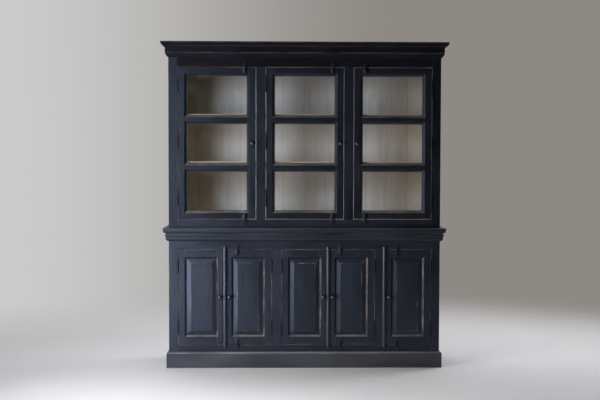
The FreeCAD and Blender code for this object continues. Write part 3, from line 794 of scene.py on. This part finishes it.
floors = sorted({round(solid["high"].z, 4) for solid in solidsOf["upper_shelves"]})
floors = [min(solid["high"].z for solid in solidsOf["upper_boards"])] + floors
backWash = makePaleWood("backWash", limewashLook, floors)  # painted shade, darker towards the top of each bay under the shelf above
for node, wash in (("lower_back_boards", limewash), ("upper_back_boards", backWash)):
    dressNode(node, "washed", [wash, bareWood], wearing["washed"], backFace)
for node in ("lower_boards", "upper_boards", "upper_shelves"):
    dressNode(node, "waxed", [waxedPine, bareWood], wearing["waxed"], outerFace)
print("boards and shelves dressed")

# Turned knobs, as radius and distance from the door in millimetres
knobShape = {
    "foot": [(11.0, 0.0), (11.3, 0.8), (11.0, 1.9), (10.2, 2.7),
             (8.8, 3.0), (7.4, 3.3), (6.6, 4.1), (6.4, 5.0)],
    "ballCentre": 19.0, "ballRadius": 15.0, "ballStart": 150, "ballSteps": 15,
    "sides": 36, "crease": 50,
}


def loft(work, rings):
    # Skin over rings of spots, closed at both ends; a ring may be a single spot
    rings = [[work.verts.new(spot) for spot in ring] for ring in rings]
    for low, high in zip(rings, rings[1:]):
        count = max(len(low), len(high))
        for index in range(count):
            after = (index + 1) % count
            corners = [low[index % len(low)], low[after % len(low)],
                       high[after % len(high)], high[index % len(high)]]
            work.faces.new(list(dict.fromkeys(corners)))
    for cap in (rings[0][::-1], rings[-1]):
        if len(cap) > 1:
            work.faces.new(cap)


def circle(radius, z, turns):
    return [Vector((radius * math.cos(a), radius * math.sin(a), z)) for a in turns]


def turned(work, profile, sides):
    # Turns a profile of radius and distance about a line out of the door
    rings = []
    for radius, out in profile:
        steps = sides if radius > tiny else 1
        spots = circle(radius, -out, [math.tau * index / steps for index in range(steps)])
        rings.append([(x, y, z) for x, z, y in spots])
    loft(work, rings)


def finishMesh(name, work, material, crease):
    bmesh.ops.recalc_face_normals(work, faces=work.faces)
    mesh = meshFrom(name, work)
    mesh.materials.append(material)
    smooth(mesh, crease)
    return mesh


def makeKnob(door, look=knobShape):
    low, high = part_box(f"{door}_knob")
    profile = list(look["foot"])
    for index in range(look["ballSteps"] + 1):
        angle = math.radians(look["ballStart"] * (1 - index / look["ballSteps"]))
        out = look["ballCentre"] + look["ballRadius"] * math.cos(angle)
        profile.append((look["ballRadius"] * math.sin(angle), out))
    centre = (low + high) / 2
    centre.y = faceY
    work = bmesh.new()
    turned(work, profile, look["sides"])
    work.transform(Matrix.Translation(centre) @ Matrix.Scale(mm, 4))
    mesh = finishMesh(f"{door}_turned_knob", work, knobLacquer, look["crease"])
    addPiece(f"{door}_turned_knob", mesh, door, f"{door}_knob", slot="iron")


for door in doors:
    makeKnob(door)
print("knobs turned")

# Turn latches in millimetres from the pivot: a ribbed leaf on the door, a ring over the case
latchShape = {
    "tip": -25.0, "tipShare": 0.03, "tipRows": 16, "tipPower": 1.5,
    "leafHalf": 14.0, "leafPower": 2.4,
    "shoulder": 16.0, "shoulderPower": 2.2, "neckHalf": 9.0, "neckTop": 25.28, "neckRows": 15,
    "headAt": 36.0, "headRadius": 14.0, "headLeast": 0.4, "headStart": -50, "headStep": 5.6,
    "headRows": 25, "columns": 24, "standoff": 1.0, "rim": 6.6, "leafDome": 4.0, "domeHalf": 8,
    "rib": 0.9, "ribHalf": 2.2, "ribFade": 5, "eyeRadius": 4.6, "eyeFloor": 1.8,
    "ringBase": 5.6, "ringDome": 5.8, "ringBelow": 3, "ringBlend": 5,
    "rivetRadius": 4.2, "rivetBase": 9.9, "rivetRise": 1.8, "spindleRadius": 3.0,
    "spindleSides": 16, "peen": [(3.6, 0.1), (3.3, 0.8), (2.0, 1.4), (0, 1.6)],
    "tongueLength": 30.0, "tongueHalf": 6.0, "tongueThick": 4.0, "tongueArris": 1.2,
    "worn": 0.62, "wornFrom": 0.8, "wornRise": 1.5, "crease": 40,
}


def bulge(share):
    # Height of a half circle of radius 1
    return math.sqrt(max(0.0, 1 - share ** 2))


def between(value):
    return min(1.0, max(0.0, value))


def latchHalfWidth(z, look=latchShape):
    if z < 0:
        return look["leafHalf"] * max(look["tipShare"], 1 - (z / look["tip"]) ** look["leafPower"])
    if z < look["shoulder"]:
        swell = 1 - (z / look["shoulder"]) ** look["shoulderPower"]
        return look["neckHalf"] + (look["leafHalf"] - look["neckHalf"]) * swell
    if z < look["neckTop"]:
        return look["neckHalf"]
    return max(look["headLeast"],
               look["headRadius"] * bulge((z - look["headAt"]) / look["headRadius"]))


def latchHeight(x, z, look=latchShape):
    half = latchHalfWidth(z)
    height = look["rim"] + look["leafDome"] * between(half / look["domeHalf"]) * bulge(x / half)
    if z < look["shoulder"]:
        rib = look["rib"] * between(1 - abs(x) / look["ribHalf"])
        height += rib * between(half / look["ribFade"])
    across = math.hypot(x, z - look["headAt"])
    if z > look["neckTop"] - look["ringBelow"]:
        ringMiddle = (look["headRadius"] + look["eyeRadius"]) / 2
        ringHalf = (look["headRadius"] - look["eyeRadius"]) / 2
        ring = look["ringBase"] + look["ringDome"] * bulge((across - ringMiddle) / ringHalf)
        ring = ring if across > look["eyeRadius"] else look["eyeFloor"]
        blend = between((z - look["neckTop"] + look["ringBelow"]) / look["ringBlend"])
        height = height * (1 - blend) + ring * blend
    across = math.hypot(x, z)
    if across < look["rivetRadius"]:
        rivet = look["rivetBase"] + look["rivetRise"] * bulge(across / look["rivetRadius"])
        height = max(height, rivet)
    return height


def castLatch(work, look=latchShape):
    tipRows, neckRows = look["tipRows"], look["neckRows"]
    rows = [look["tip"] * (1 - (index / tipRows) ** look["tipPower"]) for index in range(tipRows)]
    rows += [look["neckTop"] * index / neckRows for index in range(neckRows)]
    for index in range(look["headRows"]):
        angle = math.radians(look["headStart"] + look["headStep"] * index)
        rows.append(look["headAt"] + look["headRadius"] * math.sin(angle))
    count, foot, rings = look["columns"], -look["standoff"], []
    for z in rows:
        half = latchHalfWidth(z)
        spread = [half * math.sin(math.pi * (index / count - 0.5)) for index in range(count + 1)]
        front = [(x, foot - latchHeight(x, z), z) for x in spread]
        rings.append([(-half, foot, z)] + front + [(half, foot, z)])
    loft(work, rings)


def roundedBlock(work, low, high, arris):
    corners = bmesh.ops.create_cube(work, size=1)["verts"]
    middle, size = (low + high) / 2, high - low
    for vertex in corners:
        vertex.co = Vector(middle[axis] + vertex.co[axis] * size[axis] for axis in range(3))
    edges = list({edge for vertex in corners for edge in vertex.link_edges})
    bmesh.ops.bevel(work, geom=edges, offset=arris, segments=2, profile=0.5, affect="EDGES")


def makeLatch(node, look=latchShape):
    pivot = jointOf[node]["pos_m"]
    behind = (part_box(node)[1].y - faceY) / mm  # back of the tongue
    half, sides, radius = look["tongueHalf"], look["spindleSides"], look["spindleRadius"]
    work = bmesh.new()
    castLatch(work)
    inner, outer = 1 - behind, look["standoff"]
    turned(work, [(0, inner), (radius, inner), (radius, outer), (0, outer)], sides)
    low = Vector((-half, behind - look["tongueThick"], -half))
    roundedBlock(work, low, Vector((look["tongueLength"], behind, half)), look["tongueArris"])
    turned(work, [(radius, -behind - out) for radius, out in look["peen"]], sides)
    crest = -look["standoff"] - look["rim"] - look["leafDome"] * look["wornFrom"]
    rises = [between((crest - vertex.co.y) / look["wornRise"]) for vertex in work.verts]
    turn = Matrix.Identity(4) if node.endswith("top_latch") else Matrix.Rotation(math.pi, 4, "Y")
    work.transform(Matrix.Translation((pivot[0], faceY, pivot[2])) @ turn @ Matrix.Scale(mm, 4))
    mesh = finishMesh(f"{node}_cast", work, ironPaint, look["crease"])
    setNumbers(mesh, "wear", [look["worn"] * rise for rise in rises])
    setNumbers(mesh, "tone", [random.random()] * len(rises))
    setVectors(mesh, "grainPlace", [vertex.co for vertex in mesh.vertices])
    addPiece(f"{node}_cast", mesh, bodyOf[node], node, slot="iron")


for node in [name for name in nodes if name.endswith("latch")]:
    makeLatch(node)
print("latches cast")

# Hinges keep their shape with eased edges, painted over with the doors
for node in [name for name in nodes if "hinge" in name]:
    dressNode(node, "filed", [ironPaint], wearing["hinge"], style=filed)
for door in upperDoors:
    coats = nodes[f"{door}_glass"].data.materials
    coats.clear()
    coats.append(oldGlass)
print("hinges and panes finished")


# Geometry Nodes trees: heads of nails and screws on points, and a putty bead along an outline
def startTree(name, sockets):
    tree = bpy.data.node_groups.new(name, "GeometryNodeTree")
    tree.interface.new_socket("Geometry", in_out="INPUT", socket_type="NodeSocketGeometry")
    for label, kind in sockets.items():
        tree.interface.new_socket(label, in_out="INPUT", socket_type=f"NodeSocket{kind}")
    tree.interface.new_socket("Geometry", in_out="OUTPUT", socket_type="NodeSocketGeometry")
    return tree, addNode(tree, "NodeGroupInput", out=None).outputs


def endTree(tree, geometry, material):
    real = addNode(tree, "GeometryNodeRealizeInstances", {0: geometry})
    coated = addNode(tree, "GeometryNodeSetMaterial", {"Geometry": real, "Material": material})
    addNode(tree, "NodeGroupOutput", {0: coated}, None)


def makeHeadTree():
    sockets = {"Head": "Object", "Turn seed": "Int", "Smallest": "Float", "Material": "Material"}
    tree, given = startTree("driven heads", sockets)
    seed = given["Turn seed"]
    head = addNode(tree, "GeometryNodeObjectInfo", {"Object": given["Head"]}, "Geometry")
    wires = {"Name": "facing"}
    facing = addNode(tree, "GeometryNodeInputNamedAttribute", wires, data_type="FLOAT_VECTOR")
    aim = addNode(tree, "FunctionNodeAlignRotationToVector", {"Vector": facing}, axis="Z")
    turn = addNode(tree, "FunctionNodeRandomValue", {2: 0.0, 3: math.tau, "Seed": seed}, 1)
    spin = addNode(tree, "FunctionNodeAxisAngleToRotation", {"Axis": (0, 0, 1), "Angle": turn})
    both = addNode(tree, "FunctionNodeRotateRotation", {0: aim, 1: spin}, rotation_space="LOCAL")
    size = addNode(tree, "FunctionNodeRandomValue", {2: given["Smallest"], 3: 1.0, "Seed": seed}, 1)
    points = addNode(tree, "GeometryNodeMeshToPoints", {0: given["Geometry"]})
    wires = {"Points": points, "Instance": head, "Rotation": both, "Scale": size}
    heads = addNode(tree, "GeometryNodeInstanceOnPoints", wires)
    endTree(tree, heads, given["Material"])
    return tree


def makeBeadTree():
    tree, given = startTree("putty bead", {"Bead radius": "Float", "Material": "Material"})
    line = addNode(tree, "GeometryNodeMeshToCurve", {0: given["Geometry"]})
    wires = {"Resolution": puttyShape["sides"], "Radius": given["Bead radius"]}
    ring = addNode(tree, "GeometryNodeCurvePrimitiveCircle", wires)
    bead = addNode(tree, "GeometryNodeCurveToMesh", {"Curve": line, "Profile Curve": ring})
    bead = addNode(tree, "GeometryNodeSetShadeSmooth", {0: bead})
    endTree(tree, bead, given["Material"])
    return tree


def grow(name, tree, seedMesh, inputs, body, slot):
    # Runs a tree on a seed mesh and keeps the result as a plain piece
    source = inScene(f"{name}_seed", seedMesh)
    modifier = source.modifiers.new("grow", "NODES")
    modifier.node_group = tree
    for item in tree.interface.items_tree:
        if item.in_out == "INPUT" and item.name in inputs:
            modifier[item.identifier] = inputs[item.name]
    ready = source.evaluated_get(bpy.context.evaluated_depsgraph_get())
    grown = bpy.data.meshes.new_from_object(ready)
    grown.name = name
    bpy.data.objects.remove(source)
    bpy.data.meshes.remove(seedMesh)
    addPiece(name, grown, body, slot=slot)


def driveHeads(name, head, shape, spots, body):
    mesh = bpy.data.meshes.new("spots")
    mesh.from_pydata([spot for spot, _ in spots], [], [])
    setVectors(mesh, "facing", [way for _, way in spots])
    inputs = {"Head": head, "Turn seed": shape["seed"], "Smallest": shape["smallest"],
              "Material": oldIron}
    grow(name, headTree, mesh, inputs, body, "iron")


# Nails through the back boards; rings are shares of the radius and the rise
nailShape = {
    "radius": 0.0042, "rise": 0.0011, "sides": 9, "rings": ((1.0, -0.2), (0.92, 0.45), (0.55, 0.9)),
    "inset": 0.27, "strayX": 0.006, "strayZ": 0.004, "seed": 5, "smallest": 0.8,
}


def nailHead():
    work = bmesh.new()
    radius, rise, sides = nailShape["radius"], nailShape["rise"], nailShape["sides"]
    turns = [math.tau * index / sides for index in range(sides)]
    loft(work, [circle(radius * share, rise * lift, turns) for share, lift in nailShape["rings"]])
    return inScene("nail_head", meshFrom("nail_head", work))


headTree = makeHeadTree()
nail = nailHead()
boardsOn = {
    "upper_back_boards": solidsOf["upper_boards"] + solidsOf["upper_shelves"],
    "lower_back_boards": solidsOf["lower_boards"],
}
nailSpots = []
for backs, boards in boardsOn.items():
    heights = [board["middle"].z for board in boards]
    for board in solidsOf[backs]:
        low, high = board["low"], board["high"]
        for height in heights:
            if low.z < height < high.z:
                for side in (nailShape["inset"], 1 - nailShape["inset"]):
                    x = low.x + (high.x - low.x) * side
                    x += random.uniform(-nailShape["strayX"], nailShape["strayX"])
                    z = height + random.uniform(-nailShape["strayZ"], nailShape["strayZ"])
                    nailSpots.append((Vector((x, cadBox[1].y, z)), Vector((0, 1, 0))))
driveHeads("back_nails", nail, nailShape, nailSpots, "cases")
print("nails driven:", len(nailSpots))

# Three screws on the open face of every hinge leaf, in shares of its depth and length
screwShape = {
    "radius": 0.0031, "rise": 0.00013, "slot": 0.0008, "rim": 9, "flare": 1.04,
    "seed": 8, "smallest": 1.0,
    "leafDepth": 0.018, "knuckle": 0.004, "sink": 0.0002,
    "places": ((-0.34, 0.35), (0, 0.62), (0.34, 0.35)),
}


def screwHead(look=screwShape):
    # Two half discs with the slot between them
    radius, rise, last = look["radius"], look["rise"], look["rim"] - 1
    edge = math.asin(look["slot"] / 2 / radius)
    work = bmesh.new()
    for start in (edge, edge + math.pi):
        turns = [start + (math.pi - 2 * edge) * index / last for index in range(last + 1)]
        loft(work, [circle(radius * look["flare"], -rise, turns), circle(radius, rise, turns)])
    return inScene("screw_head", meshFrom("screw_head", work))


def leafScrews(node, sideOf):
    # sideOf tells where the open face of a leaf looks
    look, spots = screwShape, []
    for leaf in solidsOf[node]:
        low, high, side = leaf["low"], leaf["high"], sideOf(leaf)
        if high.y - low.y < look["leafDepth"]:
            continue  # a pin
        x = high.x - look["knuckle"] if side > 0 else low.x + look["knuckle"]
        for along, inward in look["places"]:
            z = leaf["middle"].z + along * (high.z - low.z)
            spot = Vector((x - look["sink"] * side, high.y - look["leafDepth"] * inward, z))
            spots.append((spot, Vector((side, 0, 0))))
    return spots


def frameSide(leaf):
    # A leaf on the frame looks to the door that hangs there
    x = leaf["middle"].x
    door = min(doors, key=lambda name: abs(jointOf[name]["pos_m"][0] - x))
    return 1 if hungLeft[door] else -1


screw = screwHead()
for door in doors:
    side = -1 if hungLeft[door] else 1
    spots = leafScrews(f"{door}_hinge_leaves", lambda leaf: side)
    driveHeads(f"{door}_hinge_screws", screw, screwShape, spots, door)
spots = leafScrews("hinge_frame_leaves", frameSide)
driveHeads("frame_hinge_screws", screw, screwShape, spots, "cases")
for template in (nail, screw):
    bpy.data.objects.remove(template)
print("hinge screws set")

# Putty bead that holds each pane from the inside
puttyShape = {"radius": 0.0034, "sides": 10, "glassBite": 0.006, "inward": 0.9, "behind": 0.8}
beadTree = makeBeadTree()


def makePutty(door):
    radius = puttyShape["radius"]
    away = puttyShape["glassBite"] + radius * puttyShape["inward"]
    points, edges = [], []
    for pane in solidsOf[f"{door}_glass"]:
        y = pane["high"].y + radius * puttyShape["behind"]
        left, right = pane["low"].x + away, pane["high"].x - away
        low, high = pane["low"].z + away, pane["high"].z - away
        first = len(points)
        points += [(left, y, low), (right, y, low), (right, y, high), (left, y, high)]
        edges += [(first + index, first + (index + 1) % 4) for index in range(4)]
    mesh = bpy.data.meshes.new("outline")
    mesh.from_pydata(points, edges, [])
    inputs = {"Bead radius": radius, "Material": oldPutty}
    grow(f"{door}_putty", beadTree, mesh, inputs, door, "black_wood")


for door in upperDoors:
    makePutty(door)
print("panes puttied")

# Camera at the photograph's place
cameraPlace = {
    "at": (-0.167, -6.991, 1.425), "lens": 60.44,
    "yaw": 1.137, "pitch": 2.40, "roll": 0.136,
}
camera = inScene("camera", bpy.data.cameras.new("camera"))
camera.data.lens = cameraPlace["lens"]
camera.matrix_world = (
    Matrix.Translation(cameraPlace["at"])
    @ Matrix.Rotation(math.radians(-cameraPlace["yaw"]), 4, "Z")
    @ Matrix.Rotation(math.radians(90 - cameraPlace["pitch"]), 4, "X")
    @ Matrix.Rotation(math.radians(cameraPlace["roll"]), 4, "Z")
)
bpy.context.scene.camera = camera

# Pale floor that fades into the backdrop, and the backdrop that only the camera sees, with painted light on its
# left and painted shade on its right
studio = {
    "floor": (0.67, 0.625, 0.575, 1),
    "floorStain": (0.59, 0.545, 0.50, 1),
    "floorClouds": ((1.5, 1.5, 1), 5), "stainRange": (0.3, 0.7, 0, 0.25), "floorRoughness": 0.7,
    "floorMiddle": (0, -1.0, 0), "floorRadius": 16.0, "floorSides": 96, "floorDrop": -0.0005,
    "fadeRange": (2.0, 5.0, 1, 0),
    # Painted light and shade: the backdrop is lighter on the left and darker on the right
    "litBackdropLeft": (0.60, 0.60, 0.60, 1),
    "shadedBackdropRight": (0.27, 0.25, 0.23, 1),
    "backdropShadeRange": (-0.28, 0.12),
    "ambient": (0.030, 0.023, 0.015, 1),
    "daylight": (0.90, 0.97, 1.09),
}

# Area lights: place, aim, size, watts and spread in degrees
lights = {
    "window": ((-2.7, -1.5, 1.9), (0, 0, 1.1), (1.2, 2.2), 25, 180),
    "key": ((-2.02, -2.33, 1.6), (0, 0, 1.1), (1.2, 1.6), 24, 120),
    "side": ((-2.0, -1.6, 0.9), (0, 0, 1.1), (1.0, 1.0), 6, 110),
    "low": ((-1.8, -1.5, 0.3), (-0.3, 0, 0.5), (1.0, 0.5), 4, 80),
    "floorNear": ((-0.6, -2.2, 3.2), (-0.6, -2.2, 0), (1.5, 1.5), 13, 60),
    "floorWide": ((-0.3, -2.0, 3.2), (-0.3, -2.0, 0), (2.0, 1.5), 16, 80),
    "behind": ((0, 3.2, 4.5), (0, 2.6, 0), (8.0, 4.0), 260, 180),
    "right": ((4.2, 1.7, 2.2), (0.9, 0, 1.1), (2.0, 2.0), 60, 120),
}


def makeFloor():
    work = bmesh.new()
    bmesh.ops.create_circle(work, cap_ends=True, segments=studio["floorSides"],
                            radius=studio["floorRadius"])
    bmesh.ops.translate(work, verts=work.verts, vec=(0, 0, studio["floorDrop"]))
    floor = inScene("floor", meshFrom("floor", work))
    material, tree, shader = newMaterial("paleFloor")
    place = objectPlace(tree)
    stain = ramp(noise(place, *studio["floorClouds"]), *studio["stainRange"])
    colour = mixed(stain, studio["floor"], studio["floorStain"])
    wires = {0: place, 1: studio["floorMiddle"]}
    away = addNode(tree, "ShaderNodeVectorMath", wires, "Value", operation="DISTANCE")
    wire(shader, Base_Color=colour, Roughness=studio["floorRoughness"])
    wire(shader, Alpha=ramp(away, *studio["fadeRange"]))
    floor.data.materials.append(material)


def addLight(name, place, aim, size, watts, spread):
    lamp = bpy.data.lights.new(name, "AREA")
    lamp.shape = "RECTANGLE"
    lamp.size, lamp.size_y = size
    lamp.energy = watts
    lamp.color = studio["daylight"]
    lamp.spread = math.radians(spread)
    light = inScene(name, lamp)
    light.visible_camera = False
    light.location = place
    light.rotation_euler = (Vector(aim) - Vector(place)).to_track_quat("-Z", "Y").to_euler()


def makeWorld():
    world = bpy.data.worlds.new("studio")
    tree = emptyTree(world)
    seen = addNode(tree, "ShaderNodeLightPath", out="Is Camera Ray")
    across = axisOf(addNode(tree, "ShaderNodeTexCoord", out="Generated"), 0)
    # Painted light and shade on the backdrop: lighter on the left, darker on the right
    share = ramp(across, *studio["backdropShadeRange"])
    backdrop = mixed(share, studio["litBackdropLeft"], studio["shadedBackdropRight"])
    colour = mixed(seen, studio["ambient"], backdrop)
    sky = addNode(tree, "ShaderNodeBackground", {"Color": colour})
    addNode(tree, "ShaderNodeOutputWorld", {"Surface": sky}, None)
    bpy.context.scene.world = world


makeFloor()
makeWorld()
for name, look in lights.items():
    addLight(name, *look)
bpy.context.scene.view_settings.view_transform = "Standard"
print("camera, floor and lights set")
